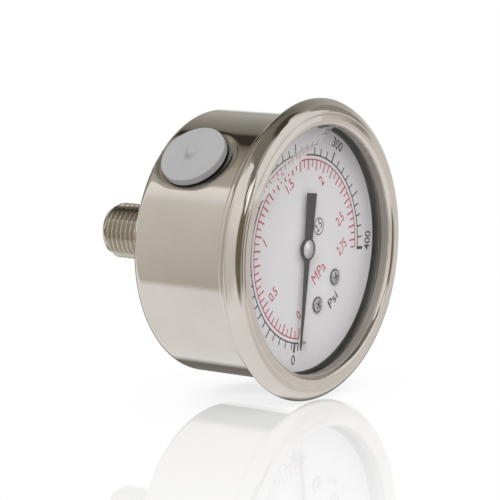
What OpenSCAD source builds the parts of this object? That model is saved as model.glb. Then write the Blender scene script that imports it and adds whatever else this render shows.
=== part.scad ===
// Liquid-filled pressure gauge with a rear connection.
// The pieces are drawn along the gauge's own axis, with the dial facing up, and turned upright at the end:
// +Z is the top of the dial, the dial faces -Y and the threaded stem points along +Y.
// The origin is on the axis at the free end of the full thread.

/* [Body] */
// Outside diameter of the drawn body shell
body_d = 60.9; // [58:0.1:68]
// Depth of the body, from its rear wall to the flange behind the window
body_depth = 26.5; // [24:0.1:34]
// Thickness of the drawn steel sheet
sheet_t = 0.7; // [0.5:0.05:0.9]
// Rounding of the rear edge, outside
rear_r = 2.2; // [1.2:0.1:3]
// Distance from the free end of the thread to the rear wall of the body
stem_out = 26.8; // [24:0.1:40]

/* [Bezel and window] */
// How far the bezel stands out from the body
bezel_over = 4.05; // [3.6:0.05:8]
// Width of the bezel's front, from its edge to the opening
rim_w = 6.1; // [5:0.1:9]
// Height of the bezel's crest above the window
rim_h = 3.0; // [2:0.1:4]
// Radius of the roll that rounds the bezel's front off to its edge
roll_r = 4.0; // [3.6:0.1:4.6]
// Thickness of the bezel's sheet
bezel_t = 0.7; // [0.5:0.05:0.8]
// Thickness of the window
window_t = 2.0; // [1.5:0.1:3]
// Thickness of the gasket under the window
gasket_t = 0.5; // [0.4:0.05:1]

/* [Connection] */
// Outside diameter of the thread
thread_d = 13.157; // [12:0.001:14]
// Length of the full thread
thread_len = 12.5; // [10:0.1:13]
// Width across the wrench flats
flats_w = 14; // [13:0.1:15]
// Diameter of the spigot through the rear wall
spigot_d = 20; // [19:0.1:22]
// Diameter of the pressure bore
bore_d = 3.6; // [2:0.1:4.5]
// Diameter of the hole in the restrictor screw
restrictor_hole_d = 0.8; // [0.4:0.1:1.5]

/* [Dial and pointer] */
// Gap between the dial's edge and the body's wall
dial_gap = 1.75; // [1:0.05:4]
// Thickness of the dial
dial_t = 0.5; // [0.3:0.05:0.8]
// Room between the dial and the window
dial_room = 3.1; // [2.8:0.1:4.5]
// Sweep of the pointer over the scale
sweep = 270; // [180:1:270]
// Distance from the pointer's tip to the dial's edge
tip_to_edge = 4.9; // [4:0.1:10]
// Length of the pointer's tail
tail_len = 12.8; // [8:0.1:14]
// Diameter of the pointer's boss
boss_d = 5.2; // [4:0.1:7]
// Distance of the dial screws from the axis
dial_screw_pcr = 14.3; // [13.5:0.1:15]
// Half the angle between the two dial screws
dial_screw_half = 18.5; // [17:0.5:30]

/* [Filling plug and liquid] */
// Diameter of the filling plug's disc
plug_d = 15.4; // [13:0.1:16]
// Height of the plug's disc above its seat
plug_h = 2.2; // [1.5:0.1:3]
// Diameter of the filling hole
plug_hole_d = 11; // [9:0.1:12]
// Distance from the rear wall to the plug's centre
plug_at = 10.9; // [10:0.1:13]
// Turn of the plug round the body, counterclockwise seen from the front
plug_turn = 6; // [-20:0.5:20]
// Depth of the flat seat under the plug, below the body's outside
seat_sink = 1.05; // [0.6:0.05:1.4]
// Height of the air space over the liquid, from the body's outside
air_h = 10.05; // [5:0.05:15]
// Lean of the liquid's surface, clockwise seen from the front
level_lean = 12; // [-45:1:45]

/* [Movement] */
// Radius of the Bourdon tube's centre line
tube_r = 21; // [20.5:0.1:22]
// Angle that the Bourdon tube spans
tube_span = 250; // [240:1:255]
// Thickness of the tube across its flats
tube_thick = 2.4; // [2:0.1:2.8]
// Width of the tube along the gauge's axis
tube_w = 7.5; // [6:0.1:8]
// Wall of the tube
tube_wall = 0.3; // [0.2:0.05:0.4]
// Module of the movement's teeth
gear_m = 0.3; // [0.28:0.01:0.31]
// Number of teeth on the pinion
pinion_z = 14; // [13:1:15]
// Number of teeth on the sector's full circle
sector_z = 98; // [90:1:100]
// Thinning of each tooth, for backlash
backlash = 0.03; // [0.01:0.01:0.05]
// Distance from the sector's arbor to its tail pin
tail_r = 4.0; // [3.5:0.1:4.4]
// Thickness of the movement's plates
plate_t = 1.0; // [0.8:0.1:1.4]
// Room between the movement's plates
plate_room = 6.5; // [6.3:0.1:7.5]
// Room between the front plate and the dial
dial_clear = 3.2; // [2.6:0.1:5]

/* [Hidden] */
$fn = 96;

// Clearances and small sizes
run_c = 0.05;        // a pivot in its hole, on the radius
slip_c = 0.1;        // a piece that is put in by hand
e = 0.01;            // a cut runs this far past a face

// Stations along the axis
z_rear = stem_out;                       // outside of the rear wall
z_in = z_rear + sheet_t;                 // inside of the rear wall
z_flange = z_rear + body_depth;          // front face of the shell's flange
z_gasket = z_flange + gasket_t;          // back of the window
z_glass = z_gasket + window_t;           // front of the window
z_front = z_glass + rim_h;               // front of the bezel
z_dial = z_gasket - dial_room;           // front of the dial
z_seat = z_dial - dial_t - dial_clear - 2 * plate_t - plate_room;   // back of the movement
z_plate1 = z_seat + plate_t;             // front of the back plate
z_plate2 = z_plate1 + plate_room;        // back of the front plate
z_gear = z_plate1 + 1.9;                 // back of the sector gear
gear_t = 1.0;
link_t = 0.8;
z_link = z_gear + gear_t + 0.2;
z_spring = z_link + link_t + 0.6;
z_tube = z_seat - 1.5 - tube_w / 2;      // middle of the Bourdon tube's width

body_r = body_d / 2;
in_r = body_r - sheet_t;
bezel_r = body_r + bezel_over;
sight_r = bezel_r - rim_w;
dial_r = in_r - dial_gap;
pointer_len = dial_r - tip_to_edge;
seat_h = body_r - seat_sink;
level_h = body_r - air_h;
flange_r = bezel_r - bezel_t - 2.4;
window_r = flange_r - 0.5;

// Gears
pinion_r = gear_m * pinion_z / 2;
sector_r = gear_m * sector_z / 2;
centres = pinion_r + sector_r;
ratio = sector_z / pinion_z;
swing = sweep / ratio;
arbor_a = -19.8;                                          // direction of the sector's arbor from the axis
arbor_p = centres * [cos(arbor_a), sin(arbor_a)];
tail_mid = 5.7;                                           // the tail's direction at mid-swing
tail_out = tail_r * ((cos(tail_mid) + cos(tail_mid - swing / 2)) / 2 + 0.017 * swing / 38.57);
link_h = 7.2;                                             // height of the link's upper pin over the axis
tip_p = [arbor_p[0] + tail_out, link_h];                  // the link's upper pin, on the tube tip's tab
tip_a = asin(link_h / tube_r);
tip_root = tube_r * [cos(tip_a), sin(tip_a)];             // where the tab leaves the tube's tip
zero_a = -135;                                            // the scale's zero, from +X
tail_p = arbor_p + tail_r * [cos(tail_mid - swing / 2), sin(tail_mid - swing / 2)];
tip_pin_r = 0.55;
tail_slot_r = tip_pin_r + 0.2;

// Places round the axis
pillar_p = [[-7.6, 3.8], arbor_p + 5.2 * [cos(280), sin(280)], arbor_p + 5.2 * [cos(75), sin(75)]];
pillar_r = 1.2;
stud_p = 5.8 * [cos(200), sin(200)];
move_screw_p = [[-4.4, -5.6], [4.9, 5.2]];
post_p = [for (s = [-1, 1]) dial_screw_pcr * [s * sin(dial_screw_half), -cos(dial_screw_half)]];
post_r = 1.8;
rear_screw_pcr = spigot_d / 2 + 3;
rear_screw_a = [90, 210, 330];
block_w = 14;

function arc(c, r, a0, a1, n) = [for (i = [0 : n]) let (a = a0 + (a1 - a0) * i / n) c + r * [cos(a), sin(a)]];
function unit(v) = v / norm(v);
// Shifts an open line of points sideways, to its right, by t
function shifted(p, t) = [for (i = [0 : len(p) - 1])
    let (a = i > 0 ? unit(p[i] - p[i - 1]) : unit(p[1] - p[0]),
         b = i < len(p) - 1 ? unit(p[i + 1] - p[i]) : a,
         m = unit(a + b), n = [m[1], -m[0]])
    p[i] + t * n / max(0.5, a * m)];
function reversed(p) = [for (i = [len(p) - 1 : -1 : 0]) p[i]];

// Involute teeth: the angle of a flank at radius r, from the tooth's centre line
function inv(a) = tan(a) * 180 / PI - a;
function flank_a(r, rp, z, x, thin) =
    let (rb = rp * cos(20), a = r > rb ? acos(rb / r) : 0)
    (90 + 2 * x * tan(20) * 180 / PI) / z - thin / rp / 2 * 180 / PI + inv(20) - inv(a);
function tooth(c, rp, z, x, thin, m) =
    let (rb = rp * cos(20), ra = rp + m * (1 + x), rf = rp - m * (1.25 - x), r0 = max(rb, rf),
         up = [for (i = [0 : 4]) let (r = r0 + (ra - r0) * i / 4) [r, flank_a(r, rp, z, x, thin)]])
    concat([rf * [cos(c - up[0][1] - 0.12 * 360 / z), sin(c - up[0][1] - 0.12 * 360 / z)]],
        rb > rf ? [rf * [cos(c - up[0][1]), sin(c - up[0][1])]] : [],
        [for (q = up) q[0] * [cos(c - q[1]), sin(c - q[1])]],
        [for (q = reversed(up)) q[0] * [cos(c + q[1]), sin(c + q[1])]],
        rb > rf ? [rf * [cos(c + up[0][1]), sin(c + up[0][1])]] : [],
        [rf * [cos(c + up[0][1] + 0.12 * 360 / z), sin(c + up[0][1] + 0.12 * 360 / z)]]);
pinion_x = 0.2;

// Outline of a bar with round ends, which are a little wider than its straight part
module bar2d(p, q, r) {
    w = r - 0.05;
    translate(p) circle(r);
    translate(q) circle(r);
    translate(p) rotate(atan2(q[1] - p[1], q[0] - p[0])) translate([0, -w]) square([norm(q - p), 2 * w]);
}
// Flat oval, the Bourdon tube's section
module oval2d(t, w) {
    square([t, w - t], center = true);
    for (s = [-1, 1]) translate([0, s * (w - t) / 2]) circle(t / 2, $fn = 32);
}
module at(p, z) { translate([p[0], p[1], z]) children(); }
// Pan-head screw with a cross recess: the head's underside is at z = 0 and the shank points down
module pan_screw(head_d, head_h, shank_d, shank_l) {
    difference() {
        union() {
            rotate_extrude() polygon(concat([[0, -shank_l], [shank_d / 2 - 0.15, -shank_l],
                [shank_d / 2, -shank_l + 0.15], [shank_d / 2, 0], [head_d / 2, 0]],
                arc([head_d / 2 - head_h * 0.7, head_h * 0.3], head_h * 0.7, 0, 70, 6), [[0, head_h]]));
        }
        for (a = [0, 90]) rotate(a) translate([0, 0, head_h])
            cube([head_d * 0.56, head_d * 0.13, head_h * 1.1], center = true);
    }
}
// Slotted cheese-head screw
module slot_screw(head_d, head_h, shank_d, shank_l) {
    difference() {
        rotate_extrude() polygon([[0, -shank_l], [shank_d / 2, -shank_l], [shank_d / 2, 0], [head_d / 2, 0],
            [head_d / 2, head_h - 0.1], [head_d / 2 - 0.1, head_h], [0, head_h]]);
        translate([0, 0, head_h]) cube([head_d + 1, head_d * 0.2, head_h * 0.8], center = true);
    }
}
// Puts what is drawn along +Z on the body's side, at the plug's place and at height h over the axis
module at_plug(h) {
    rotate(plug_turn) rotate([-90, 0, 0]) translate([0, -(z_rear + plug_at), h]) children();
}
// The pressed seat for the plug: everything above a flat with a sloping border, at height h
module seat_cut(h, r) {
    at_plug(h) {
        cylinder(r = r, h = 10);
        cylinder(r1 = r, r2 = r + 7, h = 3.4);
    }
}

// Drawn body shell: a cup with a rounded rear edge, a flange under the window and the plug's flat seat
shell_out = concat([[0, z_rear]], arc([body_r - rear_r, z_rear + rear_r], rear_r, -90, 0, 8),
    arc([body_r + 0.3, z_flange - sheet_t - 0.3], 0.3, 180, 90, 4),
    [[flange_r, z_flange - sheet_t], [flange_r, z_flange]]);
shell_in = concat([[0, z_in]], arc([body_r - rear_r, z_rear + rear_r], rear_r - sheet_t, -90, 0, 8),
    [[in_r, z_flange + e], [0, z_flange + e]]);
module body_shell() {
    color([0.80, 0.78, 0.74]) difference() {
        difference() {
            rotate_extrude() polygon(concat(shell_out, [[0, z_flange]]));
            seat_cut(seat_h, plug_d / 2 + 1);
        }
        difference() {
            rotate_extrude() polygon(shell_in);
            seat_cut(seat_h - sheet_t, plug_d / 2 + 0.7);
        }
        translate([0, 0, z_rear - 1]) cylinder(r = spigot_d / 2 + slip_c, h = sheet_t + 2);
        for (a = rear_screw_a) rotate(a) translate([rear_screw_pcr, 0, z_rear - 1])
            cylinder(r = 1.4, h = sheet_t + 2, $fn = 32);
        at_plug(seat_h - 5) cylinder(r = plug_hole_d / 2, h = 10);
    }
}

// Bezel: one sheet ring, rolled over the flange at the back and turned in to the window at the front
curl_z = z_flange - sheet_t - 0.05 - bezel_t;      // rear face of the curl behind the flange
curl_r = flange_r + slip_c + bezel_t;              // outside of the skirt round the flange
crest = [sight_r + 1.1, z_front];                  // where the front is highest
land = [bezel_r - 3.1, z_front - 0.35];            // outer end of the nearly flat front
roll_a = 80;                                       // the front's slope there, as the direction it faces
roll_c = land - roll_r * [cos(roll_a), sin(roll_a)];
bead_r = 0.9;
bead_in = roll_r - bead_r;                         // the bead lies inside the roll and touches it
bead_c = [bezel_r - bead_r, roll_c[1] + sqrt(pow(bead_in, 2) - pow(bezel_r - bead_r - roll_c[0], 2))];
bead_a = atan2(bead_c[1] - roll_c[1], bead_c[0] - roll_c[0]);
bezel_line = concat([[body_r + 0.35, curl_z]], arc([curl_r - 0.75, curl_z + 0.75], 0.75, -90, 0, 6),
    [[curl_r, z_flange - 0.3]], arc(bead_c, bead_r, -45, bead_a, 8),
    arc(roll_c, roll_r, bead_a + 6, roll_a, 8), arc(crest - [0, 1.1], 1.1, 86, 180, 8), [[sight_r, z_glass]]);
module bezel_ring() {
    color([0.82, 0.80, 0.76])
        rotate_extrude() polygon(concat(bezel_line, reversed(shifted(bezel_line, -bezel_t))));
}

// The window and the gasket that seals it on the flange
module window() {
    color([0.85, 0.9, 0.92, 0.35]) rotate_extrude() polygon([[0, z_gasket], [window_r - 0.3, z_gasket],
        [window_r, z_gasket + 0.3], [window_r, z_glass - 0.3], [window_r - 0.3, z_glass], [0, z_glass]]);
}
module window_gasket() {
    color([0.12, 0.12, 0.12]) rotate_extrude() polygon([[in_r + 0.1, z_flange], [flange_r - 0.05, z_flange],
        [flange_r - 0.05, z_glass - 0.6], [window_r + 0.05, z_glass - 0.6], [window_r + 0.05, z_gasket],
        [in_r + 0.1, z_gasket]]);
}

// Dial plate with a hole for the centre arbor and two for its screws
module dial() {
    color([0.93, 0.93, 0.92]) difference() {
        translate([0, 0, z_dial - dial_t]) cylinder(r = dial_r, h = dial_t);
        translate([0, 0, z_dial - dial_t - 1]) cylinder(r = 2.2, h = dial_t + 2, $fn = 48);
        for (p = post_p) at(p, z_dial - dial_t - 1) cylinder(r = 0.8, h = dial_t + 2, $fn = 32);
    }
}
module dial_screw(i) {
    color([0.6, 0.6, 0.6]) at(post_p[i], z_dial) rotate(i * 40 + 20) pan_screw(3.8, 0.85, 1.4, 3);
}
module dial_screw_left() { dial_screw(0); }
module dial_screw_right() { dial_screw(1); }
module dial_post(i) {
    color([0.80, 0.66, 0.36]) at(post_p[i], 0) difference() {
        translate([0, 0, z_seat]) cylinder(r = post_r, h = z_dial - dial_t - z_seat, $fn = 48);
        translate([0, 0, z_dial - dial_t - 3.2]) cylinder(r = 0.72, h = 4, $fn = 32);
    }
}
module dial_post_left() { dial_post(0); }
module dial_post_right() { dial_post(1); }

// Socket: thread, wrench flats, spigot, flange and the block that holds the tube's root
flange_d = spigot_d + 12;
seal_t = 0.4;
module tube_sweep(t, w, a0, a1) {
    rotate(a0) rotate_extrude(angle = a1 - a0) translate([tube_r, z_tube]) oval2d(t, w);
}
module socket() {
    color([0.74, 0.73, 0.70]) difference() {
        union() {
            rotate_extrude() polygon([[0, -0.9], [thread_d / 2 - 0.9, -0.9], [thread_d / 2, 0],
                [thread_d / 2, thread_len], [thread_d / 2 - 0.9, thread_len + 0.7],
                [thread_d / 2 - 0.9, thread_len + 1.5], [0, thread_len + 1.5]]);
            intersection() {
                translate([-flats_w / 2, -flats_w / 2, thread_len + 1.5])
                    cube([flats_w, flats_w, z_rear - 3.3 - thread_len - 1.5]);
                rotate_extrude() polygon([[0, thread_len + 1.5], [flats_w / 2, thread_len + 1.5],
                    [spigot_d / 2 - 0.6, thread_len + 3.2], [spigot_d / 2 - 0.6, z_rear - 3.3],
                    [0, z_rear - 3.3]]);
            }
            rotate_extrude() polygon([[0, z_rear - 3.3], [spigot_d / 2 - 1.2, z_rear - 3.3],
                [spigot_d / 2 - 1.2, z_rear - 0.9], [spigot_d / 2 - 0.4, z_rear - 0.9],
                [spigot_d / 2, z_rear - 0.5], [spigot_d / 2, z_in + seal_t], [flange_d / 2, z_in + seal_t],
                [flange_d / 2, z_in + seal_t + 1.6], [0, z_in + seal_t + 1.6]]);
            translate([-block_w / 2, -tube_r - 3, z_in + seal_t])
                cube([block_w, tube_r + 3 + 8, z_seat - z_in - seal_t]);
        }
        tube_sweep(tube_thick + 2 * slip_c, tube_w + 2 * slip_c, root_a + 0.5, root_a - 31);
        translate([0, 0, -1]) cylinder(r = 2.6, h = 8, $fn = 48);
        translate([0, 0, -1]) cylinder(r = bore_d / 2, h = z_tube + 1 + bore_d / 2, $fn = 48);
        translate([0, 0, z_tube]) rotate([90, 0, 0]) cylinder(r = 1.2, h = tube_r, $fn = 32);
        for (a = rear_screw_a) rotate(a) translate([rear_screw_pcr, 0, z_in])
            cylinder(r = 1.27, h = 4, $fn = 32);
        for (p = move_screw_p) at(p, z_seat - 3) cylinder(r = 0.82, h = 4, $fn = 32);
        at([0, 0], z_seat - 1) cylinder(r = 1.2, h = 2, $fn = 32);
    }
}
module socket_seal() {
    color([0.15, 0.15, 0.15]) difference() {
        translate([0, 0, z_in]) cylinder(r = flange_d / 2 - 0.2, h = seal_t);
        translate([0, 0, z_in - 1]) cylinder(r = spigot_d / 2 + 0.05, h = seal_t + 2);
        for (a = rear_screw_a) rotate(a) translate([rear_screw_pcr, 0, z_in - 1])
            cylinder(r = 1.35, h = seal_t + 2, $fn = 32);
    }
}
module rear_screw(i) {
    color([0.7, 0.7, 0.7]) rotate(rear_screw_a[i]) translate([rear_screw_pcr, 0, z_rear])
        rotate([180, 0, 0]) pan_screw(4.6, 1.4, 2.5, 3.9);
}
module rear_screw_1() { rear_screw(0); }
module rear_screw_2() { rear_screw(1); }
module rear_screw_3() { rear_screw(2); }
module restrictor_screw() {
    color([0.72, 0.72, 0.72]) difference() {
        translate([0, 0, 2]) cylinder(r = 2.58, h = 5, $fn = 48);
        translate([0, 0, 1]) cylinder(r = restrictor_hole_d / 2, h = 7, $fn = 32);
        translate([-4, -0.35, 1]) cube([8, 0.7, 2]);
    }
}

// Bourdon tube: a hollow flat oval, from the socket's block round to its closed tip
root_a = tip_a + tube_span + 1;
tube_end_a = tip_a + 6;
module bourdon_tube() {
    color([0.78, 0.62, 0.34]) difference() {
        tube_sweep(tube_thick, tube_w, root_a, tube_end_a);
        tube_sweep(tube_thick - 2 * tube_wall, tube_w - 2 * tube_wall, root_a + 1, tube_end_a - 1);
    }
}
// The tip closes the tube and carries the link's pin on a tab
module tube_tip() {
    color([0.75, 0.74, 0.70]) difference() {
        union() {
            tube_sweep(tube_thick + 0.9, tube_w + 0.9, tube_end_a, tip_a - 3.5);
            translate([0, 0, z_tube + tube_w / 2 - 0.8]) linear_extrude(1.8) bar2d(tip_root, tip_p, 1.5);
            at(tip_p, z_tube + tube_w / 2 + 0.5)
                cylinder(r = 1.35, h = z_link - 0.1 - z_tube - tube_w / 2 - 0.5, $fn = 48);
        }
        at(tip_p, z_link - 3) cylinder(r = tip_pin_r, h = 4, $fn = 32);
    }
}
module tip_pin() {
    color([0.7, 0.7, 0.7]) at(tip_p, 0) {
        translate([0, 0, z_link - 2.9]) cylinder(r = tip_pin_r, h = link_t + 3.0, $fn = 32);
        translate([0, 0, z_link + link_t + 0.1]) cylinder(r = 1.0, h = 0.4, $fn = 32);
    }
}
slot_p = [tip_p[0], tail_p[1]];
module link() {
    color([0.80, 0.66, 0.36]) translate([0, 0, z_link]) difference() {
        linear_extrude(link_t) {
            bar2d(tip_p, slot_p, 0.75);
            translate(tip_p) circle(1.3);
            translate(slot_p) circle(1.45);
        }
        at(tip_p, -1) cylinder(r = tip_pin_r + run_c, h = 3, $fn = 32);
        at(slot_p, -1) cylinder(r = tail_slot_r, h = 3, $fn = 32);
    }
}
module tail_pin() {
    color([0.7, 0.7, 0.7]) at(tail_p, 0) {
        translate([0, 0, z_gear - 0.3]) cylinder(r = tip_pin_r, h = gear_t + 0.3 + link_t + 0.4, $fn = 32);
        translate([0, 0, z_link + link_t + 0.15]) cylinder(r = 1.0, h = 0.35, $fn = 32);
    }
}

// Toothed sector: rim, two spokes, hub and tail, drawn at rest
rest_a = 180 + arbor_a - swing / 2;
teeth_half = ceil((swing / 2 + 4) / (360 / sector_z));
sector_rf = sector_r - gear_m * (1.25 + pinion_x);
hub_r = 2.2;
module sector_teeth2d() {
    // A tooth space of the sector faces the pinion's tooth when the sector is at mid-swing
    polygon(concat([[0, 0]], [for (k = [-teeth_half : teeth_half])
        each tooth(k * 360 / sector_z, sector_r, sector_z, -pinion_x, backlash, gear_m)]));
}
module sector_gear() {
    rim = 2.0;
    span = (teeth_half + 0.5) * 360 / sector_z;
    color([0.82, 0.68, 0.38]) at(arbor_p, z_gear) difference() {
        linear_extrude(gear_t) {
            rotate(rest_a) difference() {
                sector_teeth2d();
                // Window between hub, spokes and rim
                intersection() {
                    difference() {
                        circle(sector_rf - rim);
                        circle(hub_r + 1.6);
                    }
                    polygon([[0, 0], for (a = [-(span - 8) : 2 : span - 8]) 30 * [cos(a), sin(a)]]);
                }
            }
            circle(hub_r);
            bar2d([0, 0], tail_p - arbor_p, 1.15);
        }
        translate([0, 0, -1]) cylinder(r = 0.9, h = gear_t + 2, $fn = 32);
        at(tail_p - arbor_p, -1) cylinder(r = tip_pin_r, h = gear_t + 2, $fn = 32);
    }
}
module sector_arbor() {
    color([0.72, 0.72, 0.72]) at(arbor_p, 0) rotate_extrude($fn = 48) polygon([[0, z_seat + 0.15],
        [0.5, z_seat + 0.15], [0.5, z_plate1 + 0.1], [0.9, z_plate1 + 0.1], [0.9, z_plate2 - 0.1],
        [0.5, z_plate2 - 0.1], [0.5, z_plate2 + plate_t - 0.1], [0, z_plate2 + plate_t - 0.1]]);
}

// Centre arbor with its pinion; its front end carries the pointer
z_pinion = z_gear - 0.5;
arbor_tip_z = z_dial + 1.8;
module centre_arbor() {
    color([0.72, 0.72, 0.72]) {
        rotate_extrude($fn = 48) polygon([[0, z_seat + 0.1], [0.5, z_seat + 0.1], [0.5, z_plate1 + 0.1],
            [1.0, z_plate1 + 0.1], [1.0, z_plate2 - 0.1], [0.75, z_plate2 - 0.1], [0.75, arbor_tip_z],
            [0, arbor_tip_z]]);
        translate([0, 0, z_pinion]) linear_extrude(gear_t + 1.0) rotate(arbor_a + sweep / 2)
            polygon([for (k = [0 : pinion_z - 1])
                each tooth((k + 0.5) * 360 / pinion_z, pinion_r, pinion_z, pinion_x, backlash, gear_m)]);
    }
}

// Hairspring: a flat spiral from its collet on the arbor to its stud on the front plate
spring_in = 1.62;
stud_r = 0.5;
spring_out = norm(stud_p) - stud_r - 0.06;
spring_turns = 4.5;
function spiral(off, n) = [for (i = [0 : n]) let (k = i / n, a = 200 - 360 * spring_turns * (1 - k),
    r = spring_in + (spring_out - spring_in) * k + off) r * [cos(a), sin(a)]];
module hairspring() {
    color([0.75, 0.68, 0.5]) translate([0, 0, z_spring]) linear_extrude(0.6)
        polygon(concat(spiral(-0.06, 110), reversed(spiral(0.06, 110))));
}
module hairspring_collet() {
    color([0.80, 0.66, 0.36]) translate([0, 0, z_spring - 0.2]) difference() {
        cylinder(r = 1.5, h = 1.0, $fn = 48);
        translate([0, 0, -1]) cylinder(r = 1.0, h = 3, $fn = 48);
    }
}
module hairspring_stud() {
    color([0.80, 0.66, 0.36]) at(stud_p, z_spring - 0.3)
        cylinder(r = stud_r, h = z_plate2 - z_spring + 0.3, $fn = 32);
}

// Movement plates
module plate2d(front) {
    bar2d([0, 0], arbor_p, 3.2);
    bar2d([0, 0], pillar_p[0], 2.4);
    bar2d(arbor_p, pillar_p[1], 2.2);
    bar2d(arbor_p, pillar_p[2], 2.2);
    if (front) bar2d([0, 0], stud_p, 1.6);
    else for (p = move_screw_p) bar2d([0, 0], p, 2.4);
}
module back_plate() {
    color([0.80, 0.66, 0.36]) difference() {
        translate([0, 0, z_seat]) linear_extrude(plate_t) plate2d(false);
        for (p = [[0, 0], arbor_p]) at(p, z_seat - 1) cylinder(r = 0.5 + run_c, h = plate_t + 2, $fn = 32);
        for (p = move_screw_p) at(p, z_seat - 1) cylinder(r = 1.0, h = plate_t + 2, $fn = 32);
    }
}
module front_plate() {
    color([0.80, 0.66, 0.36]) difference() {
        translate([0, 0, z_plate2]) linear_extrude(plate_t) plate2d(true);
        at([0, 0], z_plate2 - 1) cylinder(r = 0.75 + run_c, h = plate_t + 2, $fn = 32);
        at(arbor_p, z_plate2 - 1) cylinder(r = 0.5 + run_c, h = plate_t + 2, $fn = 32);
    }
}
module pillar(i) {
    color([0.80, 0.66, 0.36]) at(pillar_p[i], z_plate1) cylinder(r = pillar_r, h = plate_room, $fn = 48);
}
module pillar_1() { pillar(0); }
module pillar_2() { pillar(1); }
module pillar_3() { pillar(2); }
module movement_screw(i) {
    color([0.7, 0.7, 0.7]) at(move_screw_p[i], z_plate1) rotate(30 + 80 * i) slot_screw(3.4, 1.0, 1.6, 3.5);
}
module movement_screw_1() { movement_screw(0); }
module movement_screw_2() { movement_screw(1); }

// Pointer: a slim blade with a broad tail, and a domed cap over its boss, drawn at zero
z_pointer = z_dial + 1.15;
module pointer() {
    color([0.13, 0.13, 0.14]) rotate(zero_a) difference() {
        union() {
            translate([0, 0, z_pointer]) linear_extrude(0.4) polygon([[-tail_len, -1.9], [0, -1.4],
                [2.5, -1.0], [pointer_len - 1.2, -0.3], [pointer_len, 0], [pointer_len - 1.2, 0.3],
                [2.5, 1.0], [0, 1.4], [-tail_len, 1.9]]);
            translate([0, 0, z_pointer - 0.35]) cylinder(r = boss_d / 2, h = 1.05, $fn = 64);
        }
        translate([0, 0, z_pointer - 1]) cylinder(r = 0.75, h = 2, $fn = 32);
    }
}
cap_r = boss_d / 2 - 0.5;
cap_h = 0.42;
cap_dome = (cap_r * cap_r + cap_h * cap_h) / 2 / cap_h;
module pointer_cap() {
    color([0.75, 0.75, 0.75]) difference() {
        rotate_extrude($fn = 64) polygon(concat([[0, z_pointer + 0.7], [cap_r, z_pointer + 0.7]],
            arc([0, z_pointer + 0.85 + cap_h - cap_dome], cap_dome, acos(cap_r / cap_dome), 90, 8)));
        translate([0, 0, z_pointer]) cylinder(r = 0.75, h = arbor_tip_z - z_pointer, $fn = 32);
    }
}

// Rubber filling plug: a disc on the flat seat, a neck through the hole and a lip under the sheet
module filling_plug() {
    color([0.66, 0.66, 0.66]) at_plug(seat_h)
        rotate_extrude() polygon(concat([[0, -sheet_t - 1.6], [plug_hole_d / 2 - 1.2, -sheet_t - 1.6],
            [plug_hole_d / 2 + 0.4, -sheet_t - 0.5], [plug_hole_d / 2 + 0.4, -sheet_t],
            [plug_hole_d / 2 - 0.02, -sheet_t], [plug_hole_d / 2 - 0.02, 0], [plug_d / 2, 0]],
            arc([plug_d / 2 - 0.5, plug_h - 0.5], 0.5, 0, 90, 5),
            [[1.75, plug_h]], arc([0, plug_h - 2.7], 3.2, 57, 90, 6)));
}

inner_room_r = max(tube_r + 4.4, norm(arbor_p) + 5.2 + 2.2 + 1);
// Glycerine: the liquid in front of the dial, round the pointer's swept disc, and round the movement
module liquid_fill() {
    color([0.95, 0.96, 0.94, 0.3]) difference() {
        union() {
            translate([0, 0, z_dial + 0.05]) cylinder(r = in_r - 0.3, h = dial_room - 0.1);
            translate([0, 0, z_in + 0.1]) cylinder(r = in_r - 0.3, h = z_dial - z_in);
        }
        // Room for the pointer, its cap and the dial's screws
        translate([0, 0, z_dial - 1]) cylinder(r = pointer_len + 0.4, h = dial_room + 2);
        // Room for the dial
        translate([0, 0, z_dial - dial_t - 0.05]) cylinder(r = dial_r + 0.1, h = dial_t + 0.1);
        // Room for the tube, the movement and the socket's block
        translate([0, 0, z_in]) cylinder(r = inner_room_r, h = z_dial - z_in + 0.1);
        rotate_extrude() polygon([[in_r - 3, z_in - 1], [in_r + 1, z_in - 1], [in_r + 1, z_in + 3]]);
        rotate(-level_lean) translate([-40, level_h, z_in - 1]) cube([80, 40, 60]);
    }
}

// Turns a piece upright: the gauge's axis to -Y and its top to +Z
module upright() { rotate([90, 0, 0]) children(); }

upright() body_shell();
upright() bezel_ring();
upright() window();
upright() window_gasket();
upright() dial();
upright() dial_screw_left();
upright() dial_screw_right();
upright() dial_post_left();
upright() dial_post_right();
upright() socket();
upright() socket_seal();
upright() rear_screw_1();
upright() rear_screw_2();
upright() rear_screw_3();
upright() restrictor_screw();
upright() bourdon_tube();
upright() tube_tip();
upright() tip_pin();
upright() link();
upright() tail_pin();
upright() sector_gear();
upright() sector_arbor();
upright() centre_arbor();
upright() hairspring();
upright() hairspring_collet();
upright() hairspring_stud();
upright() back_plate();
upright() front_plate();
upright() pillar_1();
upright() pillar_2();
upright() pillar_3();
upright() movement_screw_1();
upright() movement_screw_2();
upright() pointer();
upright() pointer_cap();
upright() filling_plug();
upright() liquid_fill();
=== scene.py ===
"""Looks of a liquid-filled pressure gauge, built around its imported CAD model.

The gauge stands as the CAD has it: its axis along Y, the dial facing -Y and the top of the dial at +Z.
Lines of points are in millimetres: a radius and a station along the axis, counted from the thread's free end.
"""

import math

import bpy
import numpy as np
from bpy.props import FloatProperty, FloatVectorProperty, IntProperty, PointerProperty
from mathutils import Matrix, Vector


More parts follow.
